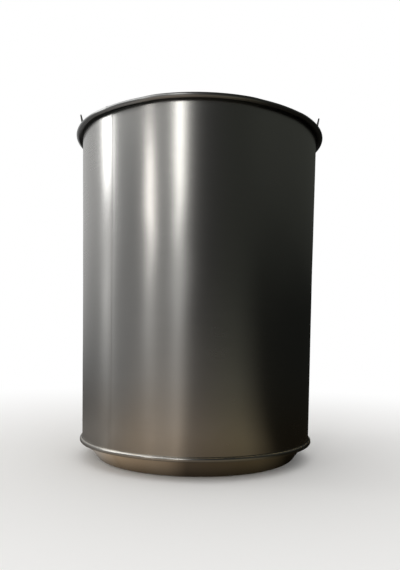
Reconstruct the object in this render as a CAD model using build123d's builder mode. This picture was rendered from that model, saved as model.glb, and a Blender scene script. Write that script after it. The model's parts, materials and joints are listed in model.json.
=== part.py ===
from build123d import *
import math
import os

# Open-head steel drum with a rolled rim, a folded bottom seam, a dished foot and a wire bail.
# Millimetres, +Z up. The origin is the centre of the foot, on the plane that the drum stands on.
# The two handle ears lie on the X axis, and the lowered bail rests on the rim at +Y.

# ---- driving dimensions ---------------------------------------------------------------------
sheet = 0.8                  # steel sheet of the body and of the bottom pan
rim_height = 382.5           # top of the rolled rim
top_diameter = 288.4         # outside of the wall at the middle of the rolled rim
base_diameter = 266.6        # outside of the wall at the top of the bottom seam
rim_roll_width = 8.4         # the roll is a flattened oval, outside sizes
rim_roll_height = 5.6
rim_turn = 248.0             # how far round the edge is rolled, in degrees; the roll is open below
rim_flats = 7                # the roll is made of this many flats
weld_angle = 228.9           # where the side weld runs, in degrees from +X about +Z
weld_width = 3.6
weld_thickness = 1.1         # the lapped edges, squeezed together by the welding wheels

seam_bottom = 19.3           # underside of the bottom seam
seam_height = 4.9
seam_play = 0.15             # between the folded layers of the seam
seam_round = 0.5             # flat across the seam's two outer corners, on the sheet's centreline
compound_height = 0.5        # sealing compound in the top of the fold

foot_top_diameter = 258.6    # outside of the foot, level with the underside of the seam
foot_diameter = 229.0        # outside of the foot's cone, carried down to the floor
foot_corner = 6.0            # centreline radius between the cone and the standing ring
panel_diameter = 194.0       # raised middle of the bottom
panel_lift = 3.0

ear_sheet = 1.5
ear_play = 0.05              # between the ear and the wall that it is riveted to
ear_lean = 13.0              # how far the ear leans out above the rim, in degrees
ear_tip_height = 38.2        # above the middle of the roll
ear_tip_radius = 2.2
ear_tip_angle = 40.0
ear_foot_width = 28.0
ear_foot_depth = 22.0        # below the middle of the roll
ear_corner = 5.0
ear_sweep = 14.0             # part of the circle that the ear is cut from, in degrees

rivet_depth = 8.5            # below the middle of the roll, close under it
rivet_spacing = 15.0
rivet_diameter = 5.0
rivet_play = 0.05            # radial, in the holes
rivet_head_diameter = 8.4
rivet_head_height = 1.2
rivet_seat = 0.1             # under each flat head, because the wall is curved

pivot_height = 14.0          # above the middle of the roll
pivot_hole = 4.7
wire = 4.0
arm_x = 140.4                # middle of each arm of the bail, inside its ear
arm_height = 62.0            # where the arm bends towards the handle
bail_reach = 148.0           # from the pivots to the middle of the handle
bail_shoulder = 20.0         # centreline radius of the four large bends
handle_half = 60.0           # half of the straight run that carries the grip
pivot_bend = 4.0             # centreline radius of the bend from the arm into the ear
tail_x = 150.2               # middle of the turned-down tail, outside the ear
tail_bend = 3.0
tail_length = 8.5
end_flats = 3                # each small bend at the wire's ends is made of this many flats
rest_play = 0.4              # between the grip and the rim that it is lowered onto

grip_length = 96.0
grip_diameter = 22.0
grip_waist = 19.0
grip_collar = 5.0            # length of the full diameter at each end
grip_bore = 4.7

os.makedirs("parts", exist_ok=True)


def bend(centre, radius, start, turn, flats, rise=None):
    """Points round a bend, from the start angle in equal steps, in degrees.

    The bend is round, or oval where rise gives its half height and radius its half width.
    """
    rise = rise or radius
    angles = [math.radians(start + turn * step / flats) for step in range(flats + 1)]
    return [(centre[0] + radius * math.cos(a), centre[1] + rise * math.sin(a)) for a in angles]


# ---- lines that several pieces share --------------------------------------------------------
rim_middle = rim_height - rim_roll_height / 2
seam_top = seam_bottom + seam_height
taper = (top_diameter - base_diameter) / 2 / (rim_middle - seam_top)
wall_tilt = math.degrees(math.atan(taper))
layer = sheet + seam_play              # from one folded layer to the next, centre to centre


def wall_radius(height):
    """Centreline radius of the tapered wall at a height."""
    return base_diameter / 2 - sheet / 2 + (height - seam_top) * taper


rivet_z = rim_middle - rivet_depth
rivet_turn = math.degrees(rivet_spacing / 2 / wall_radius(rivet_z))
rivet_place = Location((wall_radius(rivet_z), 0, rivet_z), (0, 90 + wall_tilt, 0))
rivet_spots = [
    Location((0, 0, 0), (0, 0, side + turn)) * rivet_place
    for side in (0, 180)
    for turn in (-rivet_turn, rivet_turn)
]

# ---- body: tapered wall, rolled rim, and the hook that the bottom pan is folded round --------
roll_reach = (rim_roll_width - sheet) / 2
roll_rise = (rim_roll_height - sheet) / 2
roll_centre = (wall_radius(rim_middle) + roll_reach, rim_middle)
wall_foot = seam_bottom + sheet + seam_play + sheet / 2
hook_top = seam_top - sheet - seam_play - compound_height
hook_radius = wall_radius(wall_foot) + 2 * layer

roll_points = bend(roll_centre, roll_reach, 180 - rim_turn, rim_turn, rim_flats, roll_rise)
weld_bottom = seam_top + seam_play
weld_sweep = math.degrees(weld_width / (top_diameter / 2))

with BuildPart() as body_shell:
    with BuildSketch(Plane.XZ):
        with BuildLine():
            Polyline(
                *roll_points,
                (wall_radius(wall_foot), wall_foot),
                (hook_radius, wall_foot),
                (hook_radius, hook_top),
            )
        trace(line_width=sheet)
    revolve(axis=Axis.Z)
    with BuildSketch(Plane.XZ.rotated((0, 0, weld_angle - weld_sweep / 2))):
        with BuildLine():
            Polyline(*roll_points, (wall_radius(weld_bottom), weld_bottom))
        trace(line_width=weld_thickness)
    revolve(axis=Axis.Z, revolution_arc=weld_sweep)
    with Locations(*rivet_spots):
        Cylinder(rivet_diameter / 2 + rivet_play, 4 * sheet, mode=Mode.SUBTRACT)
body_shell.part.label = "body_shell"
export_step(body_shell.part, "parts/body_shell.step")

# ---- bottom pan: hem, folded seam, conical foot, standing ring and raised panel --------------
hem_radius = wall_radius(wall_foot) + layer
hem_bottom = wall_foot + sheet / 2 + seam_play
seam_radius = wall_radius(wall_foot) + 3 * layer
seam_high = seam_top - sheet / 2
seam_low = seam_bottom + sheet / 2
foot_slope = (foot_top_diameter - foot_diameter) / 2 / seam_bottom
foot_angle = math.degrees(math.atan(foot_slope))
cone_shift = sheet / 2 / math.cos(math.radians(foot_angle))


def foot_radius(height):
    """Centreline radius of the conical foot at a height."""
    return foot_diameter / 2 - cone_shift + height * foot_slope


corner_run = foot_corner * math.tan(math.radians(90 - foot_angle) / 2)
corner_centre = (foot_radius(sheet / 2) - corner_run, sheet / 2 + foot_corner)

with BuildPart() as bottom_pan:
    with BuildSketch(Plane.XZ):
        with BuildLine():
            Polyline(
                (hem_radius, hem_bottom),
                (hem_radius, seam_high),
                (seam_radius - seam_round, seam_high),
                (seam_radius, seam_high - seam_round),
                (seam_radius, seam_low + seam_round),
                (seam_radius - seam_round, seam_low),
                (foot_radius(seam_low), seam_low),
                *bend(corner_centre, foot_corner, -foot_angle, foot_angle - 90, 2),
                (panel_diameter / 2 + panel_lift, sheet / 2),
                (panel_diameter / 2, sheet / 2 + panel_lift),
                (0, sheet / 2 + panel_lift),
            )
        trace(line_width=sheet)
    revolve(axis=Axis.Z)
bottom_pan.part.label = "bottom_pan"
export_step(bottom_pan.part, "parts/bottom_pan.step")

# ---- sealing compound, squeezed into the fold above the body's hook --------------------------
with BuildPart() as seam_compound:
    with BuildSketch(Plane.XZ):
        with Locations((hook_radius, hook_top)):
            Rectangle(sheet, compound_height, align=(Align.CENTER, Align.MIN))
    revolve(axis=Axis.Z)
seam_compound.part.label = "seam_compound"
export_step(seam_compound.part, "parts/seam_compound.step")

# ---- ears: pointed lugs, seated inside the wall and leaning out over the rolled rim ----------
ear_inset = sheet / 2 + ear_play + ear_sheet / 2
ear_bottom = rim_middle - ear_foot_depth
lean = math.radians(ear_lean)
lean_start = rim_middle + ear_inset * math.tan(lean / 2)
lean_end = rim_middle + ear_tip_height + ear_sheet
lean_out = (lean_end - lean_start) * math.tan(lean)
half_tip = math.radians(ear_tip_angle / 2)
tip_point = rim_middle + ear_tip_height - ear_tip_radius + ear_tip_radius / math.sin(half_tip)
shoulder = tip_point - ear_foot_width / 2 / math.tan(half_tip)
pivot_z = rim_middle + pivot_height

with BuildPart() as right_ear:
    with BuildSketch(Plane.XZ.rotated((0, 0, -ear_sweep / 2))):
        with BuildLine():
            Polyline(
                (wall_radius(ear_bottom) - ear_inset, ear_bottom),
                (wall_radius(lean_start) - ear_inset, lean_start),
                (wall_radius(lean_start) - ear_inset + lean_out, lean_end),
            )
        trace(line_width=ear_sheet)
    revolve(axis=Axis.Z, revolution_arc=ear_sweep)
    with BuildSketch(Plane.YZ):
        with BuildLine():
            FilletPolyline(
                (-ear_foot_width / 2, ear_bottom),
                (ear_foot_width / 2, ear_bottom),
                (ear_foot_width / 2, shoulder),
                (0, tip_point),
                (-ear_foot_width / 2, shoulder),
                radius=[ear_corner, ear_corner, ear_corner, ear_tip_radius, ear_corner],
                close=True,
            )
        make_face()
        with Locations((0, pivot_z)):
            Circle(pivot_hole / 2, mode=Mode.SUBTRACT)
    extrude(amount=top_diameter, mode=Mode.INTERSECT)
    with Locations(*rivet_spots):
        Cylinder(rivet_diameter / 2 + rivet_play, 4 * ear_sheet, mode=Mode.SUBTRACT)
right_ear.part.label = "right_ear"
export_step(right_ear.part, "parts/right_ear.step")

with BuildPart() as left_ear:
    add(mirror(right_ear.part, about=Plane.YZ, mode=Mode.PRIVATE))
left_ear.part.label = "left_ear"
export_step(left_ear.part, "parts/left_ear.step")

# ---- rivets: two through the wall and each ear, headed inside and outside --------------------
outer_seat = sheet / 2 + rivet_seat
inner_seat = ear_inset + ear_sheet / 2 + rivet_seat

with BuildPart() as ear_rivets:
    with Locations(*rivet_spots):
        with Locations((0, 0, -inner_seat)):
            Cylinder(
                rivet_diameter / 2,
                inner_seat + outer_seat,
                align=(Align.CENTER, Align.CENTER, Align.MIN),
            )
        with Locations((0, 0, outer_seat), Location((0, 0, -inner_seat), (180, 0, 0))):
            Cone(
                rivet_head_diameter / 2,
                rivet_diameter / 2,
                rivet_head_height,
                align=(Align.CENTER, Align.CENTER, Align.MIN),
            )
ear_rivets.part.label = "ear_rivets"
export_step(ear_rivets.part, "parts/ear_rivets.step")

# ---- bail: one length of wire, drawn flat in the plane that it lies in when lowered ----------
roll_line = wall_radius(rim_middle) + roll_reach
rest_reach = grip_waist / 2 + rim_roll_height / 2 + rest_play
rest_height = math.sqrt(rest_reach**2 - (bail_reach - roll_line) ** 2)
bail_tilt = math.asin((pivot_height - rest_height) / bail_reach)
bail_plane = Plane(
    origin=(0, 0, pivot_z), x_dir=(1, 0, 0), z_dir=(0, math.sin(bail_tilt), math.cos(bail_tilt))
)

# the end of the wire, from the arm out through the ear and down: (across, along) in the bail's plane
wire_end = [
    *bend((arm_x + pivot_bend, pivot_bend), pivot_bend, 180, 90, end_flats),
    *bend((tail_x - tail_bend, -tail_bend), tail_bend, 90, -90, end_flats),
    (tail_x, -tail_length),
]

with BuildPart() as bail_handle:
    with BuildLine(bail_plane) as wire_line:
        FilletPolyline(
            (arm_x, pivot_bend),
            (arm_x, arm_height),
            (handle_half, bail_reach),
            (-handle_half, bail_reach),
            (-arm_x, arm_height),
            (-arm_x, pivot_bend),
            radius=bail_shoulder,
        )
        Polyline(*wire_end)
        Polyline(*[(-across, along) for across, along in wire_end])
    with BuildSketch(Plane(wire_line.wire() @ 0, z_dir=wire_line.wire() % 0)):
        Circle(wire / 2)
    sweep(transition=Transition.RIGHT)
bail_handle.part.label = "bail_handle"
export_step(bail_handle.part, "parts/bail_handle.step")

# ---- grip: a moulded sleeve that turns on the straight middle of the bail --------------------
with BuildPart() as handle_grip:
    with BuildSketch(bail_plane):
        with BuildLine():
            Polyline(
                (-grip_length / 2, bail_reach + grip_bore / 2),
                (-grip_length / 2, bail_reach + grip_diameter / 2),
                (-grip_length / 2 + grip_collar, bail_reach + grip_diameter / 2),
                (-grip_length / 2 + 2 * grip_collar, bail_reach + grip_waist / 2),
                (grip_length / 2 - 2 * grip_collar, bail_reach + grip_waist / 2),
                (grip_length / 2 - grip_collar, bail_reach + grip_diameter / 2),
                (grip_length / 2, bail_reach + grip_diameter / 2),
                (grip_length / 2, bail_reach + grip_bore / 2),
                close=True,
            )
        make_face()
    revolve(axis=Axis(bail_plane.from_local_coords((0, bail_reach, 0)), (1, 0, 0)))
handle_grip.part.label = "handle_grip"
export_step(handle_grip.part, "parts/handle_grip.step")

wire_length = wire_line.wire().length
wire_volume = math.pi * wire**2 / 4 * wire_length
print("bail wire", round(wire_length, 2), "mm long")
print("volume of the bail over section times length", bail_handle.part.volume / wire_volume)
print("pivot line at z", pivot_z, "and the bail tilted down by", math.degrees(bail_tilt), "degrees")
print("grip axis at", bail_plane.from_local_coords((0, bail_reach, 0)))
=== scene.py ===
import json
import math
import bmesh
import bpy
import numpy as np
from mathutils import Matrix, Vector


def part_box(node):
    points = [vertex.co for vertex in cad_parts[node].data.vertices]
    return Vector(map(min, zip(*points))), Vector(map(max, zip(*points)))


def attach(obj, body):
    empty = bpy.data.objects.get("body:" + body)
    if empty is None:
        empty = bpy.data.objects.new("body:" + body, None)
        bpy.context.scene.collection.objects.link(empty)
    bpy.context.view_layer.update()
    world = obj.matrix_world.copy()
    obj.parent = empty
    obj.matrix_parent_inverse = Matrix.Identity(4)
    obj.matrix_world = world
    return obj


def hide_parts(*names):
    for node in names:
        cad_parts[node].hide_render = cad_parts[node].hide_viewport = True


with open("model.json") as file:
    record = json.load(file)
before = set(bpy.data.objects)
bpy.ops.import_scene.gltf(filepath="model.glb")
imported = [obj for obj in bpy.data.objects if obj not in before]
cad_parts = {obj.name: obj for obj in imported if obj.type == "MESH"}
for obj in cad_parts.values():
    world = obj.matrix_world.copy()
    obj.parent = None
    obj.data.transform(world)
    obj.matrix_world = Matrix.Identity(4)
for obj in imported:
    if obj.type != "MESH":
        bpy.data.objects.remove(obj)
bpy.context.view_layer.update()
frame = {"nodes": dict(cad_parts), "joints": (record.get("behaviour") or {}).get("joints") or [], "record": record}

# ---- drum body ----------------------------------------------------------------------------------
# One sheet of cold-rolled steel, rolled into a slightly tapered tube and closed by a lapped
# resistance weld. Its top edge is rolled outwards into a hollow rim, and its bottom edge is turned
# out as a hook inside the bottom seam. The steel is bare, with fine rolling marks round the body.
mm = 0.001
sheet = 0.8 * mm
roll_reach = 3.8 * mm
roll_rise = 2.5 * mm
rim_top = frame["record"]["mounts"][1]["pos_m"][2]
rim_middle = rim_top - 2.4 * mm - sheet / 2
roll_turn = 248
seam_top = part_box("bottom_pan")[1].z
wall_top = 143.8 * mm
wall_bottom = 132.9 * mm
wall_slope = (wall_top - wall_bottom) / (rim_middle - seam_top)
hook = (134.69 * mm, 22.75 * mm)
hook_bottom = 20.65 * mm
weld_angle = math.radians(228.9)
weld_half_width = 1.8 * mm
weld_proud = 0.05 * mm


def wall_radius(height):
    """Centreline radius of the wall, which grows evenly with height from the seam to the roll."""
    return wall_bottom + wall_slope * (height - seam_top)


def arc(centre, radius, start, turn, steps):
    """Points on a circle: the radius is turned from the start angle in equal steps, in degrees. A
    pair of radii gives an oval, by its half width and half height."""
    angle = np.radians(start + turn * np.linspace(0, 1, steps + 1))
    return np.asarray(centre) + np.asarray(radius) * np.stack([np.cos(angle), np.sin(angle)], 1)


def bent_path(corners, radii, step):
    """Straight runs joined by tangent arcs. An arc starts before its corner by the radius times the
    tangent of half the turn. Runs are divided so that no two points lie further apart than a step."""
    corners = np.asarray(corners, float)
    runs = [corners[:1]]
    for before, corner, after, radius in zip(corners, corners[1:], corners[2:], radii):
        come = (corner - before) / np.linalg.norm(corner - before)
        go = (after - corner) / np.linalg.norm(after - corner)
        side = math.copysign(1, come[0] * go[1] - come[1] * go[0])
        turn = math.acos(np.clip(come @ go, -1, 1))
        first = corner - come * radius * math.tan(turn / 2)
        spoke = side * radius * np.array([come[1], -come[0]])
        start = math.degrees(math.atan2(spoke[1], spoke[0]))
        runs.append(arc(first - spoke, radius, start, side * math.degrees(turn), 4 + int(4 * turn)))
    points = np.concatenate([*runs, corners[-1:]])
    gaps = np.linalg.norm(np.diff(points, axis=0), axis=1)
    place = np.concatenate([[0], np.cumsum(gaps)])
    counts = np.ceil(gaps / step).astype(int)
    spread = [a + (b - a) * np.arange(n) / n for a, b, n in zip(place, place[1:], counts)]
    spread = np.concatenate([*spread, place[-1:]])
    return np.stack([np.interp(spread, place, points[:, k]) for k in (0, 1)], 1)


def sheet_outline(path, thickness, closed=True):
    """Outline of a bent sheet, with its outward directions. The path is pushed to its left by half
    the thickness, and on the way back to its right, with half-round edges over its ends."""
    along = np.gradient(path, axis=0)
    along /= np.linalg.norm(along, axis=1, keepdims=True)
    left = np.stack([-along[:, 1], along[:, 0]], 1)
    over = np.radians(np.arange(30, 180, 30))[:, None]
    last = np.cos(over) * left[-1] + np.sin(over) * along[-1]
    first = -np.cos(over) * left[0] - np.sin(over) * along[0]
    outward = np.concatenate([left, last, -left[::-1]] + [first, left[:1]] * closed)
    middle = [path, path[[-1] * 5], path[::-1]] + [path[[0] * 5], path[:1]] * closed
    return np.concatenate(middle) + outward * thickness / 2, outward


def turned(outline, angles):
    """A point at radius r and height z, turned to the angle a, is at r cos a, r sin a, z."""
    if outline.ndim == 2:
        outline = np.repeat(outline[:, None], len(angles), 1)
    radius, height = outline[..., 0], outline[..., 1]
    return np.stack([radius * np.cos(angles), radius * np.sin(angles), height], -1)


def surface(name, *grids):
    """Makes one mesh of grids of points, whose columns close on themselves. Points that meet, at a
    seam or a pole, become one, and the faces are turned outwards. The map OFBake runs from 0 to 1
    round the columns and, by their real lengths, along the rows, with the grids side by side."""
    points, faces, corners = [], [], []
    start = 0
    for number, grid in enumerate(grids):
        grid = np.concatenate([grid, grid[:, :1]], 1)
        rows, columns = grid.shape[:2]
        index = start + np.arange(rows * columns).reshape(rows, columns)
        steps = np.linalg.norm(np.diff(grid, axis=0), axis=2).max(1)
        down = np.concatenate([[0], np.cumsum(steps)]) / steps.sum()
        across = (number + np.linspace(0, 1, columns)) / len(grids)
        place = np.stack(np.meshgrid(across, down), -1)
        four = [np.s_[:-1, :-1], np.s_[:-1, 1:], np.s_[1:, 1:], np.s_[1:, :-1]]
        points.append(grid.reshape(-1, 3))
        faces.append(np.stack([index[part] for part in four], -1).reshape(-1, 4))
        corners.append(np.stack([place[part] for part in four], -2).reshape(-1, 2))
        start += rows * columns
    mesh = bpy.data.meshes.new(name)
    mesh.from_pydata(np.concatenate(points), [], np.concatenate(faces))
    layer = mesh.uv_layers.new(name="OFBake")
    layer.data.foreach_set("uv", np.concatenate(corners).astype(np.float32).ravel())
    work = bmesh.new()
    work.from_mesh(mesh)
    bmesh.ops.remove_doubles(work, verts=work.verts, dist=0.0005 * mm)
    bmesh.ops.recalc_face_normals(work, faces=work.faces)
    work.to_mesh(mesh)
    work.free()
    mesh.shade_smooth()
    piece = bpy.data.objects.new(name, mesh)
    bpy.context.scene.collection.objects.link(piece)
    return piece


def linear(code):
    """The linear colour of an sRGB hex code, each channel taken through the sRGB curve."""
    channels = [int(code[k:k + 2], 16) / 255 for k in (1, 3, 5)]
    return (*[c / 12.92 if c < 0.04 else ((c + 0.055) / 1.055) ** 2.4 for c in channels], 1)


def add(tree, kind, inputs=(), **settings):
    """Adds a shader node with its settings. An input is linked to a socket or set to a value."""
    node = tree.nodes.new("ShaderNode" + kind)
    for name, value in settings.items():
        setattr(node, name, value)
    for name, value in dict(inputs).items():
        if isinstance(value, bpy.types.NodeSocket):
            tree.links.new(value, node.inputs[name])
        else:
            node.inputs[name].default_value = value
    return node


def finish_with(kind, name, paint):
    """A new material, light or world tree. What paint returns is linked to its output."""
    made = bpy.data.worlds.new(name) if kind == "World" else bpy.data.materials.new(name)
    made.use_nodes = True
    tree = made.node_tree
    tree.nodes.clear()
    add(tree, "Output" + kind, {"Surface": paint(tree)})
    return made


def rolled_steel(name, clean, stained, stain_height, stain_low):
    """Bare cold-rolled steel: satin metal with marks drawn out round the drum by the rolls, faint
    clouds from oil and hands, and a painted reflection of the brown table: a brown tint in clouds
    low down, fading out upwards. The roll is a darker grey. The weld is heat-tinted. The pattern
    reads the height and the distance round, which starts and ends at the weld."""
    def paint(tree):
        place = add(tree, "TexCoord").outputs["Object"]
        from_weld = add(tree, "Mapping", {"Vector": place, "Rotation": (0, 0, math.pi - weld_angle)})
        part = add(tree, "SeparateXYZ", {0: from_weld.outputs[0]}).outputs
        angle = add(tree, "Math", {0: part[1], 1: part[0]}, operation="ARCTAN2").outputs[0]
        round_way = add(tree, "Math", {0: angle, 1: wall_top}, operation="MULTIPLY").outputs[0]
        flat = add(tree, "CombineXYZ", {0: round_way, 1: part[2]}).outputs[0]
        # rolling marks some 60 mm long; real ones are 0.1 mm apart, drawn 3.5 mm apart to show
        drawn_out = add(tree, "Mapping", {"Vector": flat, "Scale": (1 / 0.060, 1 / 0.0035, 1)})
        marks = add(tree, "TexNoise", {"Vector": drawn_out.outputs[0], "Scale": 1, "Detail": 2}).outputs[0]
        # clouds of oil and handling, about 90 mm across
        cloud = add(tree, "TexNoise", {"Vector": place, "Scale": 1 / 0.090, "Detail": 4}).outputs[0]
        # painted reflection: this brown tint low down stands for the brown table mirrored in the steel
        low = add(tree, "MapRange", {0: part[2], 1: stain_low, 2: stain_height, 3: 1, 4: 0}).outputs[0]
        cloudy = add(tree, "MapRange", {0: cloud, 1: 0.3, 2: 0.7, 3: 0.2, 4: 0.7}).outputs[0]
        amount = add(tree, "Math", {0: low, 1: cloudy}, operation="MULTIPLY").outputs[0]
        colour = add(tree, "Mix", {0: amount, 6: linear(clean), 7: linear(stained)}, data_type="RGBA")
        tone = add(tree, "MapRange", {0: marks, 1: 0.25, 2: 0.75, 3: 0.99, 4: 1.01}).outputs[0]
        # the roll is a darker, more neutral grey than the wall
        on_roll = add(tree, "MapRange", {0: part[2], 1: rim_middle - 5 * mm, 2: rim_middle - 2 * mm})
        handled = add(tree, "Mix", {
            0: on_roll.outputs[0], 6: colour.outputs[2], 7: linear("#a8a9a8"),
        }, data_type="RGBA").outputs[2]
        toned = add(tree, "VectorMath", {0: handled, 3: tone}, operation="SCALE").outputs[0]
        # the weld band is 3.6 mm wide, scaled by the welding heat for about 3 mm more on each side
        beside = add(tree, "Math", {0: round_way}, operation="ABSOLUTE").outputs[0]
        half_round = math.pi * wall_top
        heat = add(tree, "MapRange", {0: beside, 1: half_round - 5 * mm, 2: half_round - 1.5 * mm})
        scaled = add(tree, "Math", {0: heat.outputs[0], 1: 0.10}, operation="MULTIPLY").outputs[0]
        welded = add(tree, "Mix", {0: scaled, 6: toned, 7: linear("#6b6158")}, data_type="RGBA")
        rough = add(tree, "MapRange", {0: marks, 1: 0.25, 2: 0.75, 3: 0.228, 4: 0.237}).outputs[0]
        oily = add(tree, "Math", {0: cloud, 1: 0.06, 2: rough}, operation="MULTIPLY_ADD").outputs[0]
        on_rim = {0: on_roll.outputs[0], 1: 0.03, 2: oily}
        rougher = add(tree, "Math", on_rim, operation="MULTIPLY_ADD").outputs[0]
        bump = add(tree, "Bump", {"Height": marks, "Distance": 0.0004 * mm})
        tangent = add(tree, "Tangent", direction_type="UV_MAP", uv_map="OFBake")
        return add(tree, "BsdfPrincipled", {
            "Base Color": welded.outputs[2], "Metallic": 1, "Roughness": rougher,
            "Anisotropic": 0.25, "Anisotropic Rotation": 0.25,
            "Tangent": tangent.outputs[0], "Normal": bump.outputs[0],
        }).outputs[0]
    return finish_with("Material", name, paint)


wall_line = bent_path(
    [hook, (hook[0], hook_bottom), (wall_radius(hook_bottom), hook_bottom), (wall_top, rim_middle)],
    [0.5 * mm, 0.5 * mm],
    12 * mm,
)
roll_line = arc((wall_top + roll_reach, rim_middle), (roll_reach, roll_rise), 180, -roll_turn, 40)
body_outline, body_outward = sheet_outline(np.concatenate([wall_line[:-1], roll_line]), sheet)
weld_lines = weld_angle + np.linspace(-2.6, 2.6, 27) * mm / wall_top
body_angles = np.sort(np.append(np.radians(np.arange(360)), weld_lines))

# the weld stands proud on both faces, and bulges more where it was rolled into the rim
height = body_outline[:, 1:]
from_weld = (body_angles - weld_angle) * wall_top
above_seam = np.clip((height - seam_top) / (2 * mm), 0, 1)
on_roll = np.clip((height - rim_middle) / (2 * mm), 0, 1)
proud = weld_proud * above_seam / (1 + (from_weld / weld_half_width) ** 8)
proud = proud + 0.4 * mm * on_roll * np.exp(-((from_weld / (1.6 * mm)) ** 2))
body_points = body_outline[:, None] + body_outward[:, None] * proud[..., None]
# the free wall is not quite round: shallow waves, and flatter for about 9 mm beside the weld
free = np.sin(np.pi * np.clip((height - seam_top) / (rim_middle - seam_top), 0, 1)) ** 2
wave_run = height / (100 * mm)
waves = np.sin(11 * body_angles + 9 * wave_run) + np.sin(17 * body_angles - 5 * wave_run)
flatter = -0.12 * mm * np.exp(-np.abs(from_weld) / (9 * mm))
waist = -0.4 * mm
body_points[..., 0] += free * (0.04 * mm * waves + flatter + waist)
# the rim was sprung when it was rolled: about 1 mm low beside the weld, and 0.6 mm at the right
# in front. Each dip has its angle, its depth in millimetres and its half width in degrees
for dip, depth, spread in ((236, 1.0, 14), (304.5, 0.6, 12)):
    near = np.exp(-(((np.degrees(body_angles) - dip) / spread) ** 6))
    body_points[..., 1] -= depth * mm * near * np.clip((height - rim_middle) / (40 * mm) + 1, 0, 1)
body = surface("drum_body", turned(body_points, body_angles))
# the brown #ab9c86, full below 20 mm and gone above 100 mm, is a painted reflection of the table
body.data.materials.append(rolled_steel("cold_rolled_steel", "#c8c7c4", "#ab9c86", 0.10, 0.02))
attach(body, "drum")
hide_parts("body_shell")

# ---- bottom pan ---------------------------------------------------------------------------------
# A pan drawn from the same sheet. Its edge is folded over the body's hook and rolled flat, as a
# double seam, and its foot steps in as a cone to the ring that the drum stands on. The middle of
# the bottom is raised clear of the floor.
hem = (133.74 * mm, 21.2 * mm)
seam_outside = 135.64 * mm
seam_high = seam_top - sheet / 2
seam_low = 19.2 * mm
seam_fall = 1.6 * mm  # the top of the fold slopes down outwards by this much
cone_top = 129.1 * mm
foot_radius = 114.3 * mm
panel_radius = 97 * mm
panel_lift = 3 * mm
pan_line = bent_path(
    [
        (0, sheet / 2 + panel_lift),
        (panel_radius, sheet / 2 + panel_lift),
        (panel_radius + panel_lift, sheet / 2),
        (foot_radius, sheet / 2),
        (cone_top, seam_low),
        (seam_outside, seam_low),
        (seam_outside, seam_high - seam_fall),
        (hem[0], seam_high),
        hem,
    ],
    [3 * mm, 3 * mm, 6 * mm, 1.2 * mm, 0.9 * mm, 1.6 * mm, 0.5 * mm],
    8 * mm,
)
pan_outline = sheet_outline(pan_line, sheet, closed=False)[0]
pan_angles = np.radians(np.arange(360))
# a shallow crease in the bead, left by the seaming roll, and slight waves round it
on_bead = np.clip((pan_outline[:, :1] - cone_top - 3 * mm) / (3 * mm), 0, 1)
crease_angle = math.radians(244)
crease = -0.25 * mm * np.exp(-(((pan_angles - crease_angle) / math.radians(2.2)) ** 2))
waves = 0.02 * mm * np.sin(23 * pan_angles)
pan_points = np.repeat(pan_outline[:, None], len(pan_angles), 1)
pan_points[..., 0] += on_bead * (crease + waves - 0.02 * mm)
pan = surface("bottom_pan_drawn", turned(pan_points, pan_angles))
# the brown #9c8a70 on the foot below the bead is a painted reflection of the table
pan.data.materials.append(rolled_steel("drawn_steel", "#bfbcb6", "#9c8a70", 0.0205, 0.018))
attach(pan, "drum")
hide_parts("bottom_pan")

# ---- sealing compound ---------------------------------------------------------------------------
# A ring of cured rubber compound, squeezed into the top of the bottom seam. It was run in as a
# liquid, so it is dull, tan and slightly uneven.


def cured_compound(tree):
    place = add(tree, "TexCoord").outputs["Object"]
    uneven = add(tree, "TexNoise", {"Vector": place, "Scale": 1 / 0.004}).outputs[0]
    colour = add(tree, "Mix", {0: uneven, 6: linear("#c8b27c"), 7: linear("#a88f62")}, data_type="RGBA")
    bump = add(tree, "Bump", {"Height": uneven, "Distance": 0.1 * mm})
    return add(tree, "BsdfPrincipled", {
        "Base Color": colour.outputs[2], "Roughness": 0.6, "Normal": bump.outputs[0],
    }).outputs[0]


compound = frame["nodes"]["seam_compound"]
compound.data.materials.clear()
compound.data.materials.append(finish_with("Material", "cured_rubber_compound", cured_compound))

# ---- ears ---------------------------------------------------------------------------------------
# Two pointed lugs, pressed from 1.5 mm pickled steel. Each is curved to sit inside the wall, leans
# out over the rim above it, and has a punched hole for the bail. The cut edges are tumbled round.
ear_sheet = 1.5 * mm
ear_inset = 1.35 * mm
ear_lean = math.radians(13)
ear_edge = 0.35 * mm
ear_low, ear_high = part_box("right_ear")
half_foot = ear_high.y
foot_corner = 5 * mm
tip_radius = 2.2 * mm
half_tip = math.radians(20)
tip_point = rim_middle + 38.1 * mm - tip_radius + tip_radius / math.sin(half_tip)
shoulder = tip_point - half_foot / math.tan(half_tip)
hinge, grip_axis = [Vector(joint["pos_m"]) for joint in frame["joints"]]
pivot_hole = 2.35 * mm


def ear_radius(height):
    """Middle of the ear's sheet: along the wall, and leaning out over the rim above its middle. The
    bend between the two is the logarithm of one plus an exponential, so it is rounded."""
    soft = 0.8 * mm
    past = soft * np.logaddexp(0, (height - rim_middle) / soft)
    return wall_radius(height) - ear_inset + past * (math.tan(ear_lean) - wall_slope)


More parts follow.
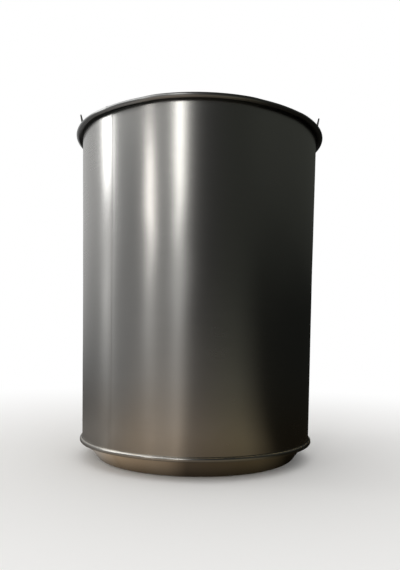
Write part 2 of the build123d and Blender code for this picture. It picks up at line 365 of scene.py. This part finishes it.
def pressed_ear(side):
    """Rows run from the hole over the front to the edge, and round it back to the hole. A point is
    placed between hole and edge by its share, drawn in by its inset and pushed out by its depth."""
    edge = bent_path(
        [
            (0, ear_low.z),
            (half_foot, ear_low.z),
            (half_foot, shoulder),
            (0, tip_point),
            (-half_foot, shoulder),
            (-half_foot, ear_low.z),
            (0, ear_low.z),
        ],
        [foot_corner, foot_corner, tip_radius, foot_corner, foot_corner],
        1.2 * mm,
    )
    run = np.gradient(edge, axis=0)
    edge, run = edge[:-1], run[:-1] / np.linalg.norm(run[:-1], axis=1, keepdims=True)
    inward = np.stack([-run[:, 1], run[:, 0]], 1)
    spoke = edge - [0, hinge.z]
    spoke /= np.linalg.norm(spoke, axis=1, keepdims=True)
    over = np.radians([0, 30, 60, 90, 90, 120, 150, 180])
    rounding = ear_edge * (1 - np.sin(over))
    land = np.repeat([1, -1], 4) * (ear_sheet / 2 - ear_edge) + ear_edge * np.cos(over)
    face = np.linspace(0, 1, 20)
    share = np.concatenate([face, np.ones(8), face[::-1], np.zeros(8)])[:, None, None]
    inset = np.concatenate([face * 0 + ear_edge, rounding] * 2)[:, None, None]
    depth = np.concatenate([face * 0 + ear_sheet / 2, land, face * 0 - ear_sheet / 2, -land])
    from_hole = [0, hinge.z] + spoke * (pivot_hole + inset)
    flat = (1 - share) * from_hole + share * (edge + inward * inset)
    height = flat[..., 1]
    rise = 0.1 * mm
    lean = np.arctan((ear_radius(height + rise) - ear_radius(height)) / rise)
    radius = ear_radius(height) + depth[:, None] * np.cos(lean)
    across = flat[..., 0]
    out = side * np.sqrt(radius**2 - across**2)
    return np.stack([out, across, height - depth[:, None] * np.sin(lean)], -1)


def pickled_steel(tree):
    """Pickled and oiled steel sheet: a dull, even dark grey, with streaks left by the acid bath."""
    place = add(tree, "TexCoord").outputs["Object"]
    streaks = add(tree, "Mapping", {"Vector": place, "Scale": (1 / 0.006, 1 / 0.002, 1 / 0.012)})
    mottled = add(tree, "TexNoise", {"Vector": streaks.outputs[0], "Scale": 1, "Detail": 4}).outputs[0]
    colour = add(tree, "Mix", {0: mottled, 6: linear("#757472"), 7: linear("#605e5b")}, data_type="RGBA")
    rough = add(tree, "MapRange", {0: mottled, 1: 0.3, 2: 0.7, 3: 0.34, 4: 0.46}).outputs[0]
    bump = add(tree, "Bump", {"Height": mottled, "Distance": 0.01 * mm})
    return add(tree, "BsdfPrincipled", {
        "Base Color": colour.outputs[2], "Metallic": 1, "Roughness": rough, "Normal": bump.outputs[0],
    }).outputs[0]


ear_finish = finish_with("Material", "pickled_steel", pickled_steel)
for name, side in (("left_ear", -1), ("right_ear", 1)):
    ear = surface(name + "_pressed", pressed_ear(side))
    ear.data.materials.append(ear_finish)
    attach(ear, "drum")
    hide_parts(name)

# ---- rivets -------------------------------------------------------------------------------------
# Four soft steel rivets, two through the wall and each ear, close under the rolled rim. The heads
# are low and rounded, set inside and outside, and keep the dimpled look of the riveting tool.
rivet_z = rim_middle - 8.5 * mm
rivet_spacing = 15 * mm
shank = 2.5 * mm
head = 4.2 * mm
head_height = 1.2 * mm
outer_seat = 0.5 * mm
inner_seat = -2.2 * mm
rivet_line = bent_path(
    [
        (0, outer_seat + head_height),
        (shank, outer_seat + head_height),
        (head, outer_seat),
        (shank, outer_seat),
        (shank, inner_seat),
        (head, inner_seat),
        (shank, inner_seat - head_height),
        (0, inner_seat - head_height),
    ],
    [2 * mm, 0.2 * mm, 0.1 * mm, 0.1 * mm, 0.2 * mm, 2 * mm],
    1 * mm,
)
rivet_points = turned(rivet_line, np.radians(np.arange(0, 360, 9)))
wall_tilt = math.atan(wall_slope)
rivet_grids = []
for side in (0, math.pi):
    for turn in (-1, 1):
        angle = side + turn * rivet_spacing / 2 / wall_radius(rivet_z)
        stand = Matrix.Rotation(angle, 3, "Z") @ Matrix.Rotation(math.pi / 2 + wall_tilt, 3, "Y")
        foot = Matrix.Rotation(angle, 3, "Z") @ Vector((wall_radius(rivet_z), 0, rivet_z))
        rivet_grids.append(rivet_points @ np.array(stand).T + np.array(foot))


def headed_steel(tree):
    """Soft steel, headed cold: brighter than the sheet, and dented in spots about 1 mm across."""
    place = add(tree, "TexCoord").outputs["Object"]
    dents = add(tree, "TexNoise", {"Vector": place, "Scale": 1 / 0.001, "Detail": 1}).outputs[0]
    colour = add(tree, "Mix", {0: dents, 6: linear("#b9b8b5"), 7: linear("#a4a19b")}, data_type="RGBA")
    rough = add(tree, "MapRange", {0: dents, 3: 0.28, 4: 0.42}).outputs[0]
    bump = add(tree, "Bump", {"Height": dents, "Distance": 0.03 * mm})
    return add(tree, "BsdfPrincipled", {
        "Base Color": colour.outputs[2], "Metallic": 1, "Roughness": rough, "Normal": bump.outputs[0],
    }).outputs[0]


rivets = surface("ear_rivets_headed", *rivet_grids)
rivets.data.materials.append(finish_with("Material", "cold_headed_steel", headed_steel))
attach(rivets, "drum")
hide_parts("ear_rivets")

# ---- bail ---------------------------------------------------------------------------------------
# One length of 4 mm zinc-plated steel wire, bent cold in one plane. Its ends pass out through the
# ears and are turned down, so that it swings in them. Lowered, it lies along the rim at the back.
wire_radius = 2 * mm
arm_x = 140.4 * mm
arm_height = 62 * mm
handle_half = 60 * mm
tail_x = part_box("bail_handle")[1].x - wire_radius
tail_length = 8.5 * mm
reach = (grip_axis - hinge).length
bail_along = np.array((grip_axis - hinge).normalized())
half_bail = [(handle_half, reach), (arm_x, arm_height), (arm_x, 0), (tail_x, 0), (tail_x, -tail_length)]
half_bends = [20 * mm, 20 * mm, 4 * mm, 3 * mm]
bail_flat = bent_path(
    [(-across, along) for across, along in half_bail[::-1]] + half_bail,
    half_bends[::-1] + half_bends,
    3 * mm,
)


def wire_along(path, radius, rounded, angles):
    """Carries a circle along a flat path, upright to it. Over the last stretch at each end the circle
    shrinks as a quarter round would, and a last row of no radius closes the cut."""
    length = np.concatenate([[0], np.cumsum(np.linalg.norm(np.diff(path, axis=0), axis=1))])
    near = rounded * (1 - np.cos(np.radians([0, 30, 60, 90])))
    place = np.concatenate([near, length[1:-1], length[-1] - near[::-1]])
    place = np.concatenate([place[:1], place, place[-1:]])
    line = np.stack([np.interp(place, length, path[:, k]) for k in (0, 1)], 1)
    end = np.clip(np.minimum(place, length[-1] - place) / rounded, 0, 1)
    girth = radius - rounded + rounded * np.sqrt(1 - (1 - end) ** 2)
    girth[[0, -1]] = 0
    run = np.gradient(line[1:-1], axis=0)
    run = np.concatenate([run[:1], run, run[-1:]])
    run /= np.linalg.norm(run, axis=1, keepdims=True)
    left = np.stack([-run[:, 1], run[:, 0]], 1)
    side = girth[:, None, None] * np.cos(angles)[:, None] * left[:, None]
    lift = girth[:, None] * np.sin(angles)
    return line[:, None] + side, lift


wire_flat, wire_lift = wire_along(bail_flat, wire_radius, 0.5 * mm, np.radians(np.arange(0, 360, 15)))
upright = np.cross([1, 0, 0], bail_along)
bail_points = np.array(hinge) + wire_flat[..., :1] * [1, 0, 0] + wire_flat[..., 1:] * bail_along
bail = surface("bail_wire_bent", bail_points + wire_lift[..., None] * upright)


def zinc_plate(tree):
    """Zinc plate on drawn wire: a cool, satin silver with the die's fine lines along the wire and a
    whitish bloom in patches about 15 mm long. The map's first number runs round the wire."""
    place = add(tree, "TexCoord").outputs
    along = add(tree, "Mapping", {"Vector": place["UV"], "Scale": (26, 30, 1)})
    lines = add(tree, "TexNoise", {"Vector": along.outputs[0], "Scale": 1, "Detail": 2}).outputs[0]
    bloom = add(tree, "TexNoise", {"Vector": place["Object"], "Scale": 1 / 0.015, "Detail": 3}).outputs[0]
    colour = add(tree, "Mix", {0: bloom, 6: linear("#c4c7c9"), 7: linear("#d6d7d6")}, data_type="RGBA")
    rough = add(tree, "MapRange", {0: bloom, 1: 0.35, 2: 0.65, 3: 0.28, 4: 0.42}).outputs[0]
    bump = add(tree, "Bump", {"Height": lines, "Distance": 0.01 * mm})
    return add(tree, "BsdfPrincipled", {
        "Base Color": colour.outputs[2], "Metallic": 1, "Roughness": rough, "Normal": bump.outputs[0],
    }).outputs[0]


bail.data.materials.append(finish_with("Material", "zinc_plated_wire", zinc_plate))
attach(bail, "bail")
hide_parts("bail_handle")

# ---- grip ---------------------------------------------------------------------------------------
# A black polyethylene sleeve that turns on the straight middle of the bail. It is moulded in two
# halves of a die, waisted for the fingers, and fluted along the waist.
grip_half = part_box("handle_grip")[1].x
grip_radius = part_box("handle_grip")[1].z - grip_axis.z - 0.02 * mm
waist = 9.5 * mm
bore = 2.35 * mm
collar = 5 * mm
half_grip = [
    (grip_half, bore),
    (grip_half, grip_radius),
    (grip_half - collar, grip_radius),
    (grip_half - 2 * collar, waist),
]
grip_ends = [0.5 * mm, 1.5 * mm, 25 * mm, 25 * mm]
grip_line = bent_path(
    [(0, bore)] + half_grip + [(-along, out) for along, out in half_grip[::-1]] + [(0, bore)],
    grip_ends + grip_ends[::-1],
    2 * mm,
)
grip_angles = np.radians(np.arange(0, 360, 1.5))
along, out = grip_line[:, :1], grip_line[:, 1:]
outside = out > waist - 1 * mm
inside_collars = grip_half - 2 * collar + 1 * mm - np.abs(along)
on_waist = np.clip(inside_collars / (3 * mm), 0, 1) * outside
flutes = 0.35 * mm * (0.5 - 0.5 * np.cos(30 * grip_angles)) ** 0.7
mould_line = 0.12 * mm * np.exp(-((np.cos(grip_angles) * waist / (0.25 * mm)) ** 2))
below_collars = outside * (out < grip_radius - 0.2 * mm)
out = out - on_waist * flutes + below_collars * mould_line
grip_points = np.stack([along + 0 * out, out * np.cos(grip_angles), out * np.sin(grip_angles)], -1)
grip = surface("grip_moulded", grip_points + np.array(grip_axis))


def polyethylene(tree):
    """Moulded polyethylene: black, a little waxy, with a fine spark-eroded grain of about 0.6 mm,
    scuffed paler in places by hands and shelves."""
    place = add(tree, "TexCoord").outputs["Object"]
    grain = add(tree, "TexNoise", {"Vector": place, "Scale": 1 / 0.0006, "Detail": 1}).outputs[0]
    scuffs = add(tree, "TexNoise", {"Vector": place, "Scale": 1 / 0.012, "Detail": 6}).outputs[0]
    worn = add(tree, "MapRange", {0: scuffs, 1: 0.55, 2: 0.75}).outputs[0]
    colour = add(tree, "Mix", {0: worn, 6: linear("#303031"), 7: linear("#454545")}, data_type="RGBA")
    rough = add(tree, "MapRange", {0: scuffs, 1: 0.3, 2: 0.7, 3: 0.38, 4: 0.55}).outputs[0]
    bump = add(tree, "Bump", {"Height": grain, "Distance": 0.02 * mm})
    return add(tree, "BsdfPrincipled", {
        "Base Color": colour.outputs[2], "Roughness": rough, "IOR": 1.51, "Normal": bump.outputs[0],
    }).outputs[0]


grip.data.materials.append(finish_with("Material", "moulded_polyethylene", polyethylene))
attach(grip, "grip")
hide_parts("handle_grip")

# ---- floor and background -----------------------------------------------------------------------
# A large pale matt floor that takes the drum's shadow and runs out into a white background. The
# world lights the drum softly from all round, at a little under white.
floor_line = np.array([(0, -0.1 * mm), (1, -0.1 * mm), (4, -0.1 * mm), (12, -0.1 * mm)])
floor = surface("floor", turned(floor_line, np.radians(np.arange(0, 360, 3))))


def seen_or_mirrored(tree):
    """One for camera, glossy and transmission rays, and nought for the rays that light things."""
    rays = add(tree, "LightPath").outputs
    first = add(tree, "Math", {0: rays["Is Camera Ray"], 1: rays["Is Glossy Ray"]}, operation="MAXIMUM")
    both = {0: first.outputs[0], 1: rays["Is Transmission Ray"]}
    return add(tree, "Math", both, operation="MAXIMUM").outputs[0]


def pale_floor(tree):
    """Matt white paint near the drum, and plain white beyond 0.9 m, so that no edge shows."""
    place = add(tree, "TexCoord").outputs["Object"]
    distance = add(tree, "VectorMath", {0: place}, operation="LENGTH").outputs["Value"]
    far = add(tree, "MapRange", {0: distance, 1: 0.12, 2: 0.9}, interpolation_type="SMOOTHSTEP")
    amount = add(tree, "Math", {0: far.outputs[0], 1: seen_or_mirrored(tree)}, operation="MULTIPLY")
    matt = add(tree, "BsdfDiffuse", {"Color": linear("#f6f5f3")}).outputs[0]
    white = add(tree, "Emission", {"Color": (1, 1, 1, 1)}).outputs[0]
    return add(tree, "MixShader", {0: amount.outputs[0], 1: matt, 2: white}).outputs[0]


def soft_world(tree):
    """White where it is seen, and a soft even light where it lights."""
    light = add(tree, "Background", {"Color": (1, 1, 1, 1), "Strength": 0.85}).outputs[0]
    white = add(tree, "Background", {"Color": (1, 1, 1, 1)}).outputs[0]
    return add(tree, "MixShader", {0: seen_or_mirrored(tree), 1: light, 2: white}).outputs[0]


floor.data.materials.append(finish_with("Material", "matt_white_floor", pale_floor))
bpy.context.scene.world = finish_with("World", "soft_white_room", soft_world)

# ---- strip lamps --------------------------------------------------------------------------------
# Three upright soft boxes to the left of the camera. Each stands 1.6 m away and gives one of the
# long highlights down the wall. Azimuths are from the camera's side, and negative to the left.
lamp_distance = 1.6


def strip(name, azimuth, lean, width, heights, level, tint):
    """An upright rectangle of light facing the drum's axis. Its power is the level it shows, times
    pi, times its area."""
    tall = heights[1] - heights[0]
    lamp = bpy.data.lights.new(name, "AREA")
    lamp.shape = "RECTANGLE"
    lamp.size, lamp.size_y = width, tall
    lamp.energy = level * math.pi * width * tall
    lamp.color = tint
    made = bpy.data.objects.new(name, lamp)
    bpy.context.scene.collection.objects.link(made)
    turn = math.radians(azimuth)
    middle = (heights[0] + heights[1]) / 2
    made.location = (lamp_distance * math.sin(turn), -lamp_distance * math.cos(turn), middle)
    made.rotation_euler = (math.pi / 2, math.radians(lean), turn)
    made.visible_camera = False


lamps = [
    ("strip_left", -92, -6, 0.38, (0.64, 1.15), 3.65, (1, 1, 1)),
    ("strip_front_left", -43.5, -8, 0.17, (0.42, 0.78), 3.75, (1, 0.96, 0.92)),
    ("strip_front", -17.3, -1, 0.185, (0.50, 1.45), 3.85, (1, 0.985, 0.95)),
]
for lamp_values in lamps:
    strip(*lamp_values)

# ---- reflection tent ----------------------------------------------------------------------------
# Bare metal shows what stands round it, so one glowing card closes in the drum like a light tent: a
# brown table top, an upright wall and a flat ceiling. Only reflections see it. Its greys are painted
# light and shade: light on the left, where the lamps stand, dark like a curtain on the right, with
# painted shadows round the foot and painted streaks of the lamps' glow.
#
# Each ring has its distance, height, warmth, share of the lamps' glow, and five greys: behind on the
# left, at the left, in front on the left, straight ahead, and on the right.
tent_rings = [
    # the table: in the foot's own shadow, lit under the seam, in the seam's shadow, and open
    (0.11, 0.001, 0.25, 0, (0.005, 0.005, 0.005, 0.002, 0.002)),
    (0.13, 0.001, 0.25, 0, (0.1, 0.6, 0.3, 0.1, 0.01)),
    (0.15, 0.001, 0.25, 0, (0.05, 0.15, 0.1, 0.05, 0.01)),
    (0.17, 0.001, 0.25, 0, (0.05, 0.15, 0.1, 0.05, 0.01)),
    (0.25, 0.001, 0.2, 0.2, (0.1, 0.3, 0.4, 0.2, 0.01)),
    (0.5, 0.001, 0.1, 0.2, (0.1, 0.2, 0.3, 0.1, 0.01)),
    (1.7, 0.001, 0, 0.3, (0.2, 0.2, 0.2, 0.05, 0.01)),
    # the upright wall
    (1.7, 0.25, 0, 1, (0.4, 0.2, 0.2, 0.03, 0.01)),
    (1.7, 0.6, 0, 0.5, (0.6, 0.2, 0.2, 0.03, 0.04)),
    (1.7, 0.9, 0, 0.2, (0.6, 0.3, 0.2, 0.04, 0.05)),
    (1.7, 1.15, 0, 0, (0.6, 0.3, 0.2, 0.03, 0.05)),
    # the ceiling, with a light over the left
    (1.7, 1.5, 0, 0, (2, 2.5, 0.1, 0.03, 0.05)),
    (1.3, 1.5, 0, 0, (1, 2.5, 0.1, 0.03, 0.05)),
    (0.6, 1.5, 0, 0, (0.3, 0.4, 0.1, 0.03, 0.03)),
    (0.001, 1.5, 0, 0, (0.1, 0.1, 0.1, 0.03, 0.03)),
]


def tent_grey(azimuth, behind, left, front_left, ahead, right):
    """The five greys at -150, -60, -14, -4 to 35 and 60 to 180 degrees, and evenly between them."""
    greys = (right, behind, left, front_left, ahead, ahead, right, right)
    return np.interp(azimuth, (-180, -150, -60, -14, -4, 35, 60, 180), greys)


def lamp_glow(points, azimuth, width):
    """The glow of a lamp on the tent, and its streak on the table: a bell curve of the angle between
    a point and the lamp, seen in plan from the spot on the drum where the lamp's highlight stands.
    That spot is a little less than half way round to the lamp, because the camera is close. The
    bell's half width is a degree more than the lamp's."""
    turn = math.radians(azimuth)
    foot = lamp_distance * np.array([math.sin(turn), -math.cos(turn)])
    spot = wall_top * np.array([math.sin(0.45 * turn), -math.cos(0.45 * turn)])
    to_point = points[..., :2] - spot
    to_lamp = foot - spot
    crossed = to_point[..., 0] * to_lamp[1] - to_point[..., 1] * to_lamp[0]
    away = np.degrees(np.arctan2(crossed, to_point @ to_lamp))
    half_width = 1 + math.degrees(width / 2 / lamp_distance)
    return 0.7 * np.exp(-((away / half_width) ** 2))


def tent(name):
    """A ring's distance d, azimuth a and height z place its points at d sin a, -d cos a, z. The grey
    runs evenly from azimuth to azimuth and from ring to ring. Warmth raises the red and lowers the
    blue, and the dark side on the right is slightly olive."""
    azimuth = np.linspace(-180, 180, 361)
    angle = np.radians(azimuth)
    distance, height, warmth, share = np.array([ring[:4] for ring in tent_rings]).T[..., None]
    place = [distance * np.sin(angle), -distance * np.cos(angle), height + 0 * angle]
    grid = np.stack(place, -1)
    greys = np.stack([tent_grey(azimuth, *greys) for *_, greys in tent_rings])
    for _, lamp_azimuth, _, lamp_width, *_ in lamps:
        greys = greys + share * lamp_glow(grid, lamp_azimuth, lamp_width)
    warmth = warmth * np.interp(azimuth, (-70, -45), (0.3, 1))
    olive = np.interp(azimuth, (0, 30), (0, 1))
    tints = np.stack([1 + warmth - 0.05 * olive, 1 + 0 * warmth, 1 - warmth - 0.12 * olive], -1)
    index = np.arange(greys.size).reshape(greys.shape)
    corners = np.stack([index[:-1, :-1], index[:-1, 1:], index[1:, 1:], index[1:, :-1]], -1)
    mesh = bpy.data.meshes.new(name)
    mesh.from_pydata(grid.reshape(-1, 3), [], corners.reshape(-1, 4))
    paint = mesh.attributes.new("shade", "FLOAT_COLOR", "POINT")
    shades = (greys[..., None] * tints).reshape(-1, 3)
    paint.data.foreach_set("color", np.insert(shades, 3, 1, axis=1).ravel())
    made = bpy.data.objects.new(name, mesh)
    bpy.context.scene.collection.objects.link(made)
    made.visible_camera = made.visible_diffuse = made.visible_transmission = False
    made.visible_shadow = made.visible_volume_scatter = False
    return made


def matt_card(tree):
    """Glowing card that shows each point's own painted shade, whatever lights it."""
    shade = add(tree, "Attribute", attribute_name="shade").outputs["Color"]
    return add(tree, "Emission", {"Color": shade}).outputs[0]


reflection_tent = tent("reflection_tent")
reflection_tent.data.materials.append(finish_with("Material", "matt_card", matt_card))

# ---- camera -------------------------------------------------------------------------------------
# It stands low, close in front of the drum, and looks up a little. It is tilted by under a degree.
camera_data = bpy.data.cameras.new("camera")
camera_data.lens = 34.77
camera_data.sensor_width = 36
camera = bpy.data.objects.new("camera", camera_data)
bpy.context.scene.collection.objects.link(camera)
turns = [(math.radians(-0.26), "Z"), (math.radians(95.2), "X"), (math.radians(0.82), "Z")]
camera.matrix_world = Matrix.Translation((0, -677.3 * mm, 141.3 * mm))
for turn, axis in turns:
    camera.matrix_world = camera.matrix_world @ Matrix.Rotation(turn, 4, axis)
bpy.context.scene.camera = camera
bpy.context.scene.view_settings.view_transform = "Standard"
